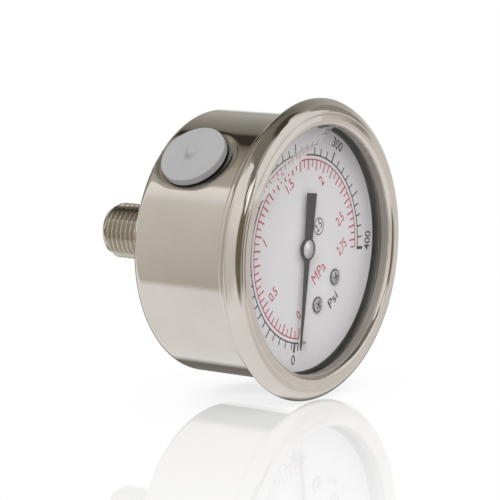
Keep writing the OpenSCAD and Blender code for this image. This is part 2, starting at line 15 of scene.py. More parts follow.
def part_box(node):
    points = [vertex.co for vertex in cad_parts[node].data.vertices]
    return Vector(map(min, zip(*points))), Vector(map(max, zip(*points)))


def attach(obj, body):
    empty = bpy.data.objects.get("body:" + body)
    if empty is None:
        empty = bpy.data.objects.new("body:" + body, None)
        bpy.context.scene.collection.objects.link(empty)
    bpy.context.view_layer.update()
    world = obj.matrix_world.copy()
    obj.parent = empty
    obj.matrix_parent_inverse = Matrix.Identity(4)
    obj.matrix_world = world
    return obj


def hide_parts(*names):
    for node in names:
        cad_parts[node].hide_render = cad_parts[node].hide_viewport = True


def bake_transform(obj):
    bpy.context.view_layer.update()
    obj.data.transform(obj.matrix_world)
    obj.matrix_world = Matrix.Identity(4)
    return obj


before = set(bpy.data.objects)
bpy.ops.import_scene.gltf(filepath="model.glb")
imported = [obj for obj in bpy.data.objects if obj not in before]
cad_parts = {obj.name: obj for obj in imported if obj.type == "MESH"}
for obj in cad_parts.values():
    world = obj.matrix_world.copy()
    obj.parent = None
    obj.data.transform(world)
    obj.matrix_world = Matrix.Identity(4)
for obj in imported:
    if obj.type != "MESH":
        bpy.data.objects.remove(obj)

bl_info = {
    "name": "Liquid-filled pressure gauge",
    "version": (1, 0, 0),
    "blender": (4, 5, 0),
    "location": "View3D > Sidebar > Gauge",
    "description": "Models and finishes the visible pieces of a liquid-filled pressure gauge",
    "category": "Object",
}

MM = 0.001
AXIS = (0.0, 1.0, 0.0)


# Sizes in millimetres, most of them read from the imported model
def reach(node, axis, side):
    """The lowest (side 0) or highest (side 1) place of a CAD node along an axis, in millimetres."""
    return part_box(node)[side][axis] / MM


Z_REAR = -reach("body_shell", 1, 1)
Z_FLANGE = -reach("body_shell", 1, 0)
FLANGE_R = reach("body_shell", 0, 1)
Z_GLASS = -reach("window", 1, 0)
Z_GASKET = -reach("window", 1, 1)
WINDOW_R = reach("window", 0, 1)
Z_FRONT = -reach("bezel_ring", 1, 0)
BEZEL_R = reach("bezel_ring", 0, 1)
Z_DIAL = -reach("dial", 1, 0)
THREAD_R = 6.5785
PLUG_Y = (reach("filling_plug", 1, 0) + reach("filling_plug", 1, 1)) / 2
PLUG_R = (reach("filling_plug", 1, 1) - reach("filling_plug", 1, 0)) / 2
SPIGOT_R = 10.0


def length_of(label, about, default, low, high):
    """A length property, in metres."""
    return FloatProperty(name=label, description=about, default=default, min=low, max=high, unit="LENGTH")


def angle_of(label, about, degrees, limit=1.5):
    """An angle property, in radians, with its default in degrees."""
    return FloatProperty(
        name=label, description=about, default=math.radians(degrees), min=-limit, max=limit, unit="ROTATION")


def colour_of(label, about, *default):
    """A colour property, linear."""
    return FloatVectorProperty(name=label, description=about, subtype="COLOR", default=default)


def number_of(label, about, default, low, high):
    """A plain number property."""
    return FloatProperty(name=label, description=about, default=default, min=low, max=high)


class GaugeSizes(bpy.types.PropertyGroup):
    """Sizes of the gauge's pieces."""

    body_radius: length_of("Body radius", "Outside radius of the drawn body shell", 0.03045, 0.02, 0.05)
    sheet: length_of("Sheet", "Thickness of the body's and the bezel's sheet", 0.0007, 0.0003, 0.002)
    opening_radius: length_of(
        "Opening radius", "Radius of the bezel's opening in front of the window", 0.0284, 0.02, 0.05)
    seat_height: length_of(
        "Seat height", "Height of the plug's pressed seat over the gauge's axis", 0.0294, 0.02, 0.05)
    plug_height: length_of("Plug height", "Height of the plug's disc over its seat", 0.0022, 0.001, 0.005)
    thread_pitch: length_of("Thread pitch", "Advance of the pipe thread in one turn", 0.001337, 0.0005, 0.003)
    thread_depth: length_of("Thread depth", "Depth of the pipe thread's grooves", 0.000856, 0.0002, 0.002)
    plug_turn: angle_of("Plug turn", "Turn of the plug round the body, counterclockwise from the front", 6)
    level: length_of("Liquid level", "Height of the liquid over the gauge's axis", 0.0204, 0.0, 0.029)
    level_lean: angle_of("Level lean", "Lean of the liquid's surface, clockwise from the front", 12)
    turns: IntProperty(
        name="Spin steps", description="Number of steps that round sheet pieces are spun in",
        default=384, min=64, max=720)


class GaugeColours(bpy.types.PropertyGroup):
    """Colours of the gauge's finishes."""

    steel: colour_of("Steel", "Polished stainless steel", 0.644, 0.604, 0.558)
    socket: colour_of("Socket", "Turned steel of the connection", 0.56, 0.52, 0.45)
    brass: colour_of("Brass", "Brass of the movement", 0.66, 0.47, 0.18)
    bronze: colour_of("Bronze", "Bronze of the spring tube", 0.58, 0.36, 0.16)
    plug: colour_of("Plug", "Grey rubber of the filling plug", 0.395, 0.395, 0.40)
    rubber: colour_of("Seals", "Black rubber of the seals", 0.02, 0.02, 0.021)
    paper: colour_of("Dial", "White paint of the dial", 0.58, 0.565, 0.58)
    ink: colour_of("Black ink", "Black print on the dial", 0.018, 0.017, 0.018)
    red: colour_of("Red ink", "Red print on the dial", 0.44, 0.03, 0.06)
    pointer: colour_of("Pointer", "Black enamel of the pointer", 0.022, 0.020, 0.022)


class GaugeStudio(bpy.types.PropertyGroup):
    """How the gauge lies in the studio, and the studio's light."""

    roll: angle_of("Roll", "How far the gauge's top leans to the left, seen from the front", 37.5, 3.2)
    lens: number_of("Lens", "Focal length on a 36 mm sensor, in millimetres", 179.08, 20, 400)
    daylight: number_of("Daylight", "Strength of the plain light from all around", 0.80, 0, 2)
    mirror: number_of("Table gloss", "Strength of the mirror image on the table under the gauge", 0.36, 0, 1)


# Small helpers for modelling
def arc(centre_r, centre_z, radius, start, end, count):
    """Points on an arc in the section plane; the angles are in degrees from the radial direction."""
    found = []
    for i in range(count + 1):
        a = math.radians(start + (end - start) * i / count)
        found.append((centre_r + radius * math.cos(a), centre_z + radius * math.sin(a)))
    return found


def supported(line, near=0.1, step=None):
    """The line with points added close to the ends of its long straight parts, and at most step apart."""
    found = [line[0]]
    for a, b in zip(line, line[1:]):
        length = math.hypot(b[0] - a[0], b[1] - a[1])
        cuts = []
        if length > 4 * near:
            cuts = [near / length, 1 - near / length]
            if step and length > step:
                inner = int(math.ceil((length - 2 * near) / step))
                cuts = [(near + (length - 2 * near) * i / inner) / length for i in range(inner + 1)]
        for t in cuts + [1.0]:
            found.append((a[0] + (b[0] - a[0]) * t, a[1] + (b[1] - a[1]) * t))
    return found


def shifted(line, t):
    """The line moved sideways by t, to the right of its direction."""
    points = [Vector(p) for p in line]
    found = []
    for i, p in enumerate(points):
        a = (p - points[i - 1]).normalized() if i else (points[1] - p).normalized()
        b = (points[i + 1] - p).normalized() if i < len(points) - 1 else a
        middle = (a + b).normalized()
        found.append(tuple(p + t * Vector((middle.y, -middle.x)) / max(0.5, a.dot(middle))))
    return found


def pick_none():
    """Leaves edit mode and deselects everything."""
    if bpy.context.object and bpy.context.object.mode != "OBJECT":
        bpy.ops.object.mode_set(mode="OBJECT")
    bpy.ops.object.select_all(action="DESELECT")


def pick(*pieces):
    """Selects only these pieces; the first is the active one."""
    pick_none()
    for piece in pieces:
        piece.select_set(True)
    bpy.context.view_layer.objects.active = pieces[0]


def on_axis(r, z):
    """A point of the section plane in the gauge's frame."""
    return Vector((r, -z, 0.0)) * MM


def on_plug(r, h):
    """A point of the filling plug's section, at height h over the gauge's axis."""
    return Vector((r, PLUG_Y, h)) * MM


def named(piece, name):
    """The piece, with this name on its object and its mesh."""
    piece.name = name
    piece.data.name = name
    return piece


def open_mesh():
    """Opens the active piece in edit mode, with all of it selected."""
    bpy.ops.object.mode_set(mode="EDIT")
    bpy.ops.mesh.select_all(action="SELECT")


def block(size, centre=(0, 0, 0)):
    """A box of this size around this place, both in millimetres."""
    pick_none()
    bpy.ops.mesh.primitive_cube_add(size=1, location=Vector(centre) * MM)
    piece = bpy.context.object
    piece.scale = Vector(size) * MM
    bpy.ops.object.transform_apply(location=True, rotation=True, scale=True)
    return piece


def spun(name, line, steps, place=on_axis, centre=(0, 0, 0), axis=AXIS):
    """A closed piece spun around an axis from the points of its section."""
    pick_none()
    bpy.ops.mesh.primitive_plane_add(size=MM, location=place(*line[0]))
    piece = named(bpy.context.object, name)
    bpy.ops.object.transform_apply(location=True, rotation=False, scale=False)
    open_mesh()
    bpy.context.tool_settings.mesh_select_mode = (True, False, False)
    bpy.ops.mesh.merge(type="CENTER")
    for a, b in zip(line, line[1:]):
        bpy.ops.mesh.extrude_region_move(TRANSFORM_OT_translate={"value": place(*b) - place(*a)})
    bpy.ops.mesh.select_all(action="SELECT")
    bpy.ops.mesh.spin(steps=steps, angle=2 * math.pi, center=centre, axis=axis)
    bpy.ops.mesh.select_all(action="SELECT")
    bpy.ops.mesh.remove_doubles(threshold=2e-6)
    bpy.ops.mesh.dissolve_degenerate(threshold=1e-7)
    bpy.ops.mesh.select_all(action="SELECT")
    bpy.ops.mesh.normals_make_consistent(inside=False)
    bpy.ops.object.mode_set(mode="OBJECT")
    return piece


def places(piece):
    """The piece's vertices in millimetres, as an array."""
    co = np.empty(len(piece.data.vertices) * 3)
    piece.data.vertices.foreach_get("co", co)
    return co.reshape(-1, 3) / MM


def move_to(piece, co):
    """Puts the piece's vertices at these places, in millimetres."""
    piece.data.vertices.foreach_set("co", (co * MM).ravel())
    piece.data.update()


def joined(name, *pieces):
    """Joins the pieces into one with this name."""
    pick(*pieces)
    bpy.ops.object.join()
    return named(bpy.context.object, name)


def cut(piece, cutter):
    """Cuts the cutter out of the piece, and removes the cutter."""
    pick(piece)
    change = piece.modifiers.new("cut", "BOOLEAN")
    change.operation = "DIFFERENCE"
    change.object = cutter
    change.solver = "EXACT"
    bpy.ops.object.modifier_apply(modifier=change.name)
    bpy.data.objects.remove(cutter)


def finish_piece(piece, body, slot, material, *nodes, angle=30):
    """Smooths a finished piece, gives it its material and fixes it to the frame.
    """
    if not len(piece.data.polygons):
        raise RuntimeError(piece.name + " has no faces")
    pick(piece)
    bpy.ops.object.shade_smooth_by_angle(angle=math.radians(angle))
    piece.data.materials.clear()
    piece.data.materials.append(material)
    if body:
        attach(piece, body)
    if nodes:
        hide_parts(*nodes)
    pick_none()


# Small helpers for materials
def add(tree, kind, **values):
    """A new node; values set its properties, or its inputs where the name is an input's."""
    made = tree.nodes.new(kind)
    for name, value in values.items():
        if hasattr(made, name):
            setattr(made, name, value)
        else:
            made.inputs[name.replace("_", " ")].default_value = value
    return made


def link(tree, source, target):
    """Connects an output to an input."""
    tree.links.new(source, target)


def math_node(tree, operation, a, b=None, c=None, clamp=False):
    """The output of a Math node; numbers are set on its sockets and outputs are linked to them."""
    made = add(tree, "ShaderNodeMath", operation=operation, use_clamp=clamp)
    for socket, value in zip(made.inputs, (a, b, c)):
        if isinstance(value, (int, float)):
            socket.default_value = value
        elif value is not None:
            link(tree, value, socket)
    return made.outputs[0]


def vector_node(tree, operation, a, b=None):
    """The output of a Vector Math node; vectors are set on its sockets and outputs are linked to them."""
    made = add(tree, "ShaderNodeVectorMath", operation=operation)
    for socket, value in zip(made.inputs, (a, b)):
        if isinstance(value, (tuple, Vector)):
            socket.default_value = value
        elif value is not None:
            link(tree, value, socket)
    return made.outputs["Value" if operation in ("DOT_PRODUCT", "LENGTH") else "Vector"]


def spread(tree, value, *limits, smooth=False):
    """The output of a Map Range node; limits are the value's lowest and highest, then the output's."""
    made = add(tree, "ShaderNodeMapRange", interpolation_type="SMOOTHSTEP" if smooth else "LINEAR")
    link(tree, value, made.inputs[0])
    for socket, limit in zip(made.inputs[1:5], limits):
        socket.default_value = limit
    return made.outputs[0]


def split(tree, vector):
    """The x, y and z outputs of a vector."""
    made = add(tree, "ShaderNodeSeparateXYZ")
    link(tree, vector, made.inputs[0])
    return made.outputs


def ramp(tree, factor, stops):
    """The colour output of a ramp with these (place, colour) stops."""
    made = add(tree, "ShaderNodeValToRGB")
    elements = made.color_ramp.elements
    elements.remove(elements[1])
    elements[0].position = stops[0][0]
    for where, colour in stops[1:]:
        elements.new(where)
    for element, (where, colour) in zip(elements, stops):
        element.color = (*colour, 1) if isinstance(colour, tuple) else (colour, colour, colour, 1)
    link(tree, factor, made.inputs[0])
    return made.outputs[0]


def mixed(tree, factor, a, b):
    """The colour output of a Mix node; a and b are colours or outputs."""
    made = add(tree, "ShaderNodeMix", data_type="RGBA")
    link(tree, factor, made.inputs[0])
    for socket, value in ((made.inputs[6], a), (made.inputs[7], b)):
        if isinstance(value, tuple):
            socket.default_value = (*value, 1)
        else:
            link(tree, value, socket)
    return made.outputs[2]


def mix_shaders(tree, factor, a, b):
    """The output of a Mix Shader node."""
    made = add(tree, "ShaderNodeMixShader")
    for socket, value in zip(made.inputs, (factor, a, b)):
        link(tree, value, socket)
    return made.outputs[0]


def bumped(tree, shader, height, strength, distance):
    """Feeds the shader's normal from a height."""
    bump = add(tree, "ShaderNodeBump", Strength=strength, Distance=distance)
    link(tree, height, bump.inputs["Height"])
    link(tree, bump.outputs[0], shader.inputs["Normal"])


def noise(tree, vector, scale, **values):
    """The output of a Noise Texture node; scale is a number or an output."""
    made = add(tree, "ShaderNodeTexNoise", **values)
    link(tree, vector, made.inputs["Vector"])
    if isinstance(scale, float):
        made.inputs["Scale"].default_value = scale
    else:
        link(tree, scale, made.inputs["Scale"])
    return made.outputs[0]


def group(name, inputs, *outputs):
    """A new shader node group with a vector, these {name: default} numbers as inputs and number outputs."""
    made = bpy.data.node_groups.new(name, "ShaderNodeTree")
    made.interface.new_socket(name="Vector", in_out="INPUT", socket_type="NodeSocketVector")
    for label, default in inputs.items():
        socket = made.interface.new_socket(name=label, in_out="INPUT", socket_type="NodeSocketFloat")
        socket.default_value = default
    for label in outputs:
        made.interface.new_socket(name=label, in_out="OUTPUT", socket_type="NodeSocketFloat")
    return made, add(made, "NodeGroupInput"), add(made, "NodeGroupOutput")


def grain_group():
    """Fine grain: soft blotches and small grain, as masks from 0 to 1."""
    scales = {"Blotch Scale": 90.0, "Grain Scale": 2500.0}
    tree, given, out = group("fine_grain", scales, "Blotches", "Grain")
    for label, scale, detail in (("Blotches", "Blotch Scale", 3.0), ("Grain", "Grain Scale", 2.0)):
        grain = noise(tree, given.outputs["Vector"], given.outputs[scale], Detail=detail, Roughness=0.55)
        link(tree, spread(tree, grain, 0.3, 0.7), out.inputs[label])
    return tree


def lathe_group():
    """Turning lines: fine rings around the gauge's axis, from 0 to 1, with a slow change along each ring."""
    tree, given, out = group("turning_lines", {"Lines": 3000.0}, "Lines")
    x, y, z = split(tree, given.outputs["Vector"])
    squares = [math_node(tree, "MULTIPLY", part, part) for part in (x, z)]
    radius = math_node(tree, "SQRT", math_node(tree, "ADD", *squares))
    where = add(tree, "ShaderNodeCombineXYZ")
    for i, part in enumerate((radius, y)):
        link(tree, math_node(tree, "MULTIPLY", part, given.outputs["Lines"]), where.inputs[i])
    turn = math_node(tree, "ARCTAN2", x, z)
    link(tree, math_node(tree, "MULTIPLY", turn, 2.0), where.inputs[2])
    rings = noise(tree, where.outputs[0], 1.0, Detail=3.0, Roughness=0.6)
    link(tree, spread(tree, rings, 0.3, 0.7), out.inputs["Lines"])
    return tree


def scratch_group():
    """Fine scratches in several directions, as a mask from 0 to 1."""
    tree, given, out = group("handling_marks", {"Scale": 60.0}, "Marks")
    total = None
    for turn, stretch in ((0.4, 26.0), (1.3, 34.0), (2.4, 22.0)):
        turned = add(tree, "ShaderNodeMapping")
        turned.inputs["Rotation"].default_value = (turn, turn * 0.7, turn * 1.3)
        turned.inputs["Scale"].default_value = (1.0, stretch, stretch)
        link(tree, given.outputs["Vector"], turned.inputs["Vector"])
        marks = spread(tree, noise(tree, turned.outputs[0], given.outputs["Scale"], Detail=1.0), 0.66, 0.74)
        total = marks if total is None else math_node(tree, "MAXIMUM", total, marks)
    link(tree, total, out.inputs["Marks"])
    return tree


GROUPS = {}


def placed(tree, name, vector, **values):
    """A node group placed in a material, fed with Object coordinates."""
    makers = {"fine_grain": grain_group, "turning_lines": lathe_group, "handling_marks": scratch_group}
    if name not in GROUPS:
        GROUPS[name] = makers[name]()
    made = add(tree, "ShaderNodeGroup", node_tree=GROUPS[name])
    for label, value in values.items():
        made.inputs[label.replace("_", " ")].default_value = value
    link(tree, vector, made.inputs["Vector"])
    return made


def new_material(name):
    """An empty node material: its tree, its output and its Object coordinates."""
    material = bpy.data.materials.new(name)
    material.use_nodes = True
    tree = material.node_tree
    tree.nodes.clear()
    out = add(tree, "ShaderNodeOutputMaterial")
    here = add(tree, "ShaderNodeTexCoord").outputs["Object"]
    return material, tree, out, here


def shade(colour, share):
    """The colour made darker (share below 1) or lighter."""
    return tuple(min(1.0, c * share) for c in colour)


def facing_in(tree, here, limit):
    """A mask of the surface that faces the gauge's axis; limit is its least radius there, in metres."""
    outwards = vector_node(tree, "MULTIPLY", here, (1, 0, 1))
    normal = add(tree, "ShaderNodeNewGeometry").outputs["Normal"]
    return math_node(tree, "LESS_THAN", vector_node(tree, "DOT_PRODUCT", outwards, normal), -limit)


def seat_painted_shade(tree, here, colour):
    """The colour, darker on the seat close to the filling plug's disc: painted shade and painted dark
    reflection.
    """
    turn = bpy.context.scene.gauge_sizes.plug_turn
    out_of = Vector((-math.sin(turn), 0, math.cos(turn)))
    from_plug = vector_node(tree, "SUBTRACT", here, (0, PLUG_Y * MM, 0))
    away = vector_node(tree, "LENGTH", vector_node(tree, "CROSS_PRODUCT", from_plug, out_of))
    near = spread(tree, away, (PLUG_R + 0.1) * MM, (PLUG_R + 1.1) * MM, 0.7, 0.0, smooth=True)
    upper = math_node(tree, "GREATER_THAN", vector_node(tree, "DOT_PRODUCT", from_plug, out_of), 0)
    # Painted shade: a dark ring on the upper side of the seat, next to the plug's disc
    return mixed(tree, math_node(tree, "MULTIPLY", near, upper), colour, (0.10, 0.095, 0.07))


def below_front(tree, here, node):
    """A mask of what lies deeper than the front face of a node, such as a screw's recess, for its painted
    shade.
    """
    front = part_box(node)[0].y
    return spread(tree, split(tree, here)["Y"], front + 0.08 * MM, front + 0.35 * MM, smooth=True)


def metal(name, colour, rough, lines=0.0, grain=60.0, ring=2600.0, dark=0.9, dull_and_shaded_inside=None, recess=None):
    """Metal with turning lines, soft blotches and a few handling marks.

    A limit gives where its inside begins, which is rougher and darker, a painted shade, as is the seat by the
    filling plug; a node may be given whose recess is darker, also a painted shade.
    """
    material, tree, out, here = new_material(name)
    shader = add(tree, "ShaderNodeBsdfPrincipled", Metallic=1.0)
    rings = placed(tree, "turning_lines", here, Lines=ring).outputs[0]
    grains = placed(tree, "fine_grain", here, Blotch_Scale=grain)
    marks = placed(tree, "handling_marks", here, Scale=grain * 1.5).outputs[0]
    base = mixed(tree, grains.outputs["Blotches"], shade(colour, dark), colour)
    wear = math_node(tree, "MULTIPLY_ADD", marks, 0.25, math_node(tree, "MULTIPLY", rings, 0.75))
    roughness = spread(tree, wear, 0.0, 1.0, *rough)
    # Painted shade: past the limit the inside is darker as well as rougher, and the seat by the filling plug
    # is darkened
    if dull_and_shaded_inside:
        inner = facing_in(tree, here, dull_and_shaded_inside)
        base = seat_painted_shade(tree, here, mixed(tree, inner, base, shade(colour, 0.75)))
        roughness = math_node(tree, "MAXIMUM", roughness, math_node(tree, "MULTIPLY", inner, 0.5))
    # Painted shade: the given node's recess is much darker
    if recess:
        base = mixed(tree, below_front(tree, here, recess), base, shade(colour, 0.3))
    link(tree, base, shader.inputs["Base Color"])
    link(tree, roughness, shader.inputs["Roughness"])
    bumped(tree, shader, rings, min(1.0, 0.02 + lines), 0.00002)
    link(tree, shader.outputs[0], out.inputs[0])
    return material


def soft(name, colour, rough, grain, blotch, bump_by, dark, specular=0.5):
    """Rubber, paint or ink with fine grain and soft blotches."""
    material, tree, out, here = new_material(name)
    shader = add(tree, "ShaderNodeBsdfPrincipled", Specular_IOR_Level=specular)
    grains = placed(tree, "fine_grain", here, Blotch_Scale=blotch, Grain_Scale=grain)
    base = mixed(tree, grains.outputs["Blotches"], shade(colour, dark), colour)
    link(tree, base, shader.inputs["Base Color"])
    link(tree, spread(tree, grains.outputs["Grain"], 0.0, 1.0, *rough), shader.inputs["Roughness"])
    bumped(tree, shader, grains.outputs["Grain"], bump_by, 0.00003)
    link(tree, shader.outputs[0], out.inputs[0])
    return material


def clear_liquid(name):
    """Clear window and liquid in one: they bend light nearly alike. Plain light and shadow rays pass."""
    material, tree, out, here = new_material(name)
    shader = add(tree, "ShaderNodeBsdfPrincipled", Roughness=0.0, IOR=1.47, Transmission_Weight=1.0)
    grains = placed(tree, "fine_grain", here, Blotch_Scale=40.0)
    base = mixed(tree, grains.outputs["Blotches"], (0.985, 0.99, 0.985), (1.0, 1.0, 1.0))
    link(tree, base, shader.inputs["Base Color"])
    path = add(tree, "ShaderNodeLightPath")
    through = math_node(tree, "MAXIMUM", path.outputs["Is Shadow Ray"], path.outputs["Is Diffuse Ray"])
    clear = add(tree, "ShaderNodeBsdfTransparent")
    link(tree, mix_shaders(tree, through, shader.outputs[0], clear.outputs[0]), out.inputs[0])
    return material


# Each finish: its kind, its colour or the name of one of the gauge's colours, its share, other values
MAKERS = {
    "polished_steel": (metal, "steel", 1.0, dict(rough=(0.045, 0.08), dull_and_shaded_inside=0.01)),
    "bezel_steel": (metal, "steel", 1.03, dict(rough=(0.04, 0.08), dull_and_shaded_inside=0.0283)),
    "turned_socket": (metal, "socket", 1.0, dict(rough=(0.07, 0.16), lines=0.2, grain=80.0, ring=5200.0)),
    "screw_steel": (metal, "steel", 0.95, dict(rough=(0.14, 0.3), lines=0.15, grain=300.0, ring=6000.0)),
    "dial_screw": (metal, (0.47, 0.465, 0.48), 1.0, dict(
        rough=(0.10, 0.3), lines=0.3, grain=900.0, ring=9000.0, dark=0.6, recess="dial_screw_left")),
    "pin_steel": (metal, "steel", 0.9, dict(rough=(0.12, 0.25), lines=0.1, grain=400.0, ring=7000.0)),
    "movement_brass": (metal, "brass", 1.0, dict(rough=(0.2, 0.35), lines=0.15, grain=200.0)),
    "tube_bronze": (metal, "bronze", 1.0, dict(rough=(0.22, 0.4), lines=0.1, grain=120.0)),
    "cap_aluminium": (metal, (0.55, 0.54, 0.56), 1.0, dict(
        rough=(0.3, 0.42), lines=0.2, grain=500.0, ring=9000.0)),
    "plug_rubber": (soft, "plug", 1.0, dict(
        rough=(0.5, 0.65), grain=1500.0, blotch=160.0, bump_by=0.12, dark=0.94)),
    "gasket_rubber": (soft, (0.085, 0.085, 0.07), 1.0, dict(
        rough=(0.4, 0.6), grain=1800.0, blotch=250.0, bump_by=0.2, dark=0.8)),
    "seal_rubber": (soft, "rubber", 1.0, dict(
        rough=(0.5, 0.7), grain=1800.0, blotch=250.0, bump_by=0.25, dark=0.7)),
    "dial_paint": (soft, "paper", 1.0, dict(
        rough=(0.42, 0.55), grain=4000.0, blotch=60.0, bump_by=0.05, dark=0.97)),
    "black_ink": (soft, "ink", 1.0, dict(
        rough=(0.4, 0.6), grain=5000.0, blotch=600.0, bump_by=0.05, dark=0.6)),
    "red_ink": (soft, "red", 1.0, dict(
        rough=(0.4, 0.6), grain=5000.0, blotch=600.0, bump_by=0.05, dark=0.86)),
    "pointer_enamel": (soft, "pointer", 1.0, dict(
        rough=(0.3, 0.42), grain=3000.0, blotch=400.0, bump_by=0.06, dark=0.7, specular=0.25)),
}
MATERIALS = {}


def material_for(name):
    """The material of a finish, made once."""
    if name not in MATERIALS:
        if name in MAKERS:
            maker, colour, share, values = MAKERS[name]
            if isinstance(colour, str):
                colour = tuple(getattr(bpy.context.scene.gauge_colours, colour))
            MATERIALS[name] = maker(name, shade(colour, share), **values)
        else:
            MATERIALS[name] = clear_liquid(name)
    return MATERIALS[name]


# The pieces
class GAUGE_OT_body_shell(bpy.types.Operator):
    """Drawn cup with a rounded rear edge, a flange under the window and a pressed seat for the plug."""

    bl_idname = "gauge.body_shell"
    bl_label = "Body shell"

    def execute(self, context):
        sizes = context.scene.gauge_sizes
        r, t = sizes.body_radius / MM, sizes.sheet / MM
        edge, foot = 2.2, 0.12
        hole = SPIGOT_R + 0.1
        line = [(hole, Z_REAR)]
        line += arc(r - edge, Z_REAR + edge, edge, -90, 0, 10)
        line += arc(r + foot, Z_FLANGE - t - foot, foot, 180, 90, 5)
        line += [(FLANGE_R, Z_FLANGE - t), (FLANGE_R, Z_FLANGE), (r - t, Z_FLANGE)]
        line += arc(r - edge, Z_REAR + edge, edge - t, 0, -90, 8)
        line += [(hole, Z_REAR + t), (hole, Z_REAR)]
        piece = spun("body_shell_polished", supported(line, step=0.45), sizes.turns)
        press_seat(piece, r - t / 2, sizes.seat_height / MM, t, sizes.plug_turn)
        finish_piece(piece, "housing", "shell_steel", material_for("polished_steel"), "body_shell")
        return {"FINISHED"}


def press_seat(piece, middle, height, sheet, turn):
    """Presses the plug's flat seat and its sloping border into the shell, outside and inside.

    middle is the radius halfway through the sheet.
    """
    flat_margin, slope, soften = 1.0, 0.486, 0.12
    least_height, farthest, least_drop = 20, 16, 0.002
    piece.data.transform(Matrix.Rotation(turn, 4, "Y"))
    co = places(piece)
    outside = np.hypot(co[:, 0], co[:, 2]) > middle
    near = np.hypot(co[:, 0], co[:, 1] - PLUG_Y)
    for mask, drop in ((outside, 0.0), (~outside, sheet)):
        flat = height - drop + np.maximum(0.0, near - PLUG_R - flat_margin) * slope
        h = co[:, 2]
        lower = -soften * np.logaddexp(-h / soften, -flat / soften)
        use = mask & (h > least_height) & (near < farthest) & (h - lower > least_drop)
        co[use, 2] = lower[use]
    move_to(piece, co)
    piece.data.transform(Matrix.Rotation(-turn, 4, "Y"))


class GAUGE_OT_bezel_ring(bpy.types.Operator):
    """Bezel ring of one sheet: rolled over the flange at the back and turned in to the window in front."""

    bl_idname = "gauge.bezel_ring"
    bl_label = "Bezel ring"

    def execute(self, context):
        sizes = context.scene.gauge_sizes
        t = sizes.sheet / MM
        sight = sizes.opening_radius / MM
        body = sizes.body_radius / MM
        curl_z = Z_FLANGE - t - 0.05 - t
        curl_r = FLANGE_R + 0.1 + t
        lip, roll, bead = 1.3, 4.0, 0.9
        land = (BEZEL_R - 3.1, Z_FRONT - 0.35)
        facing = math.radians(80)
        roll_c = (land[0] - roll * math.cos(facing), land[1] - roll * math.sin(facing))
        bead_r = BEZEL_R - bead
        bead_z = roll_c[1] + math.sqrt((roll - bead) ** 2 - (bead_r - roll_c[0]) ** 2)
        bead_end = math.degrees(math.atan2(bead_z - roll_c[1], bead_r - roll_c[0]))
        line = [(body + 0.12, curl_z)]
        line += arc(curl_r - 0.75, curl_z + 0.75, 0.75, -90, 0, 8)
        line += [(curl_r, Z_FLANGE - 0.3)]
        line += arc(bead_r, bead_z, bead, -45, bead_end, 12)
        line += arc(*roll_c, roll, bead_end + 4, 80, 16)
        line += arc(land[0] - 0.26, land[1] + 0.2, 0.2, -60, -150, 4)
        line += arc(sight + lip, Z_FRONT - lip, lip, 88, 180, 14)
        line += [(sight, Z_GLASS)]
        back = shifted(line, -t)[::-1]
        piece = spun("bezel_ring_polished", supported(line + back + [line[0]], near=0.06), sizes.turns)
        finish_piece(piece, "housing", "bezel_steel", material_for("bezel_steel"), "bezel_ring", angle=40)
        return {"FINISHED"}


class GAUGE_OT_socket(bpy.types.Operator):
    """Turned socket: pipe thread with a pressure port, relief, wrench flats and a grooved spigot."""

    bl_idname = "gauge.socket"
    bl_label = "Socket"

    def execute(self, context):
        sizes = context.scene.gauge_sizes
        pitch, depth = sizes.thread_pitch / MM, sizes.thread_depth / MM
        root, length = THREAD_R - depth, 12.5
        half_flats, corner = 7.0, 9.4
        rows = int(length / pitch * 12)
        line = [(2.6, 8.0), (2.6, -0.5), (3.0, -0.9), (root, -0.9)]
        line += [(THREAD_R, length * i / rows) for i in range(rows + 1)]
        line += [(root, length + 0.7), (root, length + 1.5), (root, length + 1.9), (2.6, length + 1.9)]
        line += [(2.6, 8.0)]
        thread = spun("thread", line, 144)
        cut_thread(thread, pitch, depth, length)
        flat_end = Z_REAR - 3.3
        line = [(2.7, length + 1.5)]
        line += supported([(half_flats, length + 1.5), (corner, length + 3.2), (corner, flat_end)])
        flats = spun("flats", line + [(2.7, flat_end), (2.7, length + 1.5)], 144)
        bpy.ops.object.mode_set(mode="EDIT")
        for direction in ((1, 0, 0), (-1, 0, 0), (0, 0, 1), (0, 0, -1)):
            bpy.ops.mesh.select_all(action="SELECT")
            place = Vector(direction) * half_flats * MM
            bpy.ops.mesh.bisect(plane_co=place, plane_no=direction, use_fill=True, clear_outer=True)
        bpy.ops.object.mode_set(mode="OBJECT")
        line = [(2.8, flat_end), (SPIGOT_R - 1.2, flat_end), (SPIGOT_R - 1.2, Z_REAR - 0.9),
                (SPIGOT_R - 0.4, Z_REAR - 0.9), (SPIGOT_R, Z_REAR - 0.5), (SPIGOT_R, Z_REAR + 1.1)]
        line += [(2.8, Z_REAR + 1.1), (2.8, flat_end)]
        spigot = spun("spigot", supported(line), 144)
        piece = joined("socket_turned", thread, flats, spigot, inner_block(Z_REAR + 1.1))
        finish_piece(piece, "housing", "socket_steel", material_for("turned_socket"), "socket", angle=35)
        return {"FINISHED"}


def cut_thread(piece, pitch, depth, length):
    """Draws the thread's rounded helical groove by moving the rows of vertices to its depth."""
    co = places(piece)
    radius = np.hypot(co[:, 0], co[:, 2])
    z = -co[:, 1]
    turn = np.arctan2(co[:, 0], co[:, 2]) / (2 * math.pi)
    use = (radius > THREAD_R - 0.01) & (z > -0.01) & (z < length + 0.01)
    wave = 0.5 - 0.5 * np.cos(2 * math.pi * (z / pitch - turn))
    wave = np.clip(1.18 * wave - 0.09, 0, 1)
    root = THREAD_R - depth
    r = np.minimum(THREAD_R - depth * wave, np.maximum(root + z + 0.35, root))
    fade = np.clip(z - length + 1.0, 0, 1)
    r = r * (1 - fade) + root * fade
    co[use, 0] *= (r / radius)[use]
    co[use, 2] *= (r / radius)[use]
    move_to(piece, co)


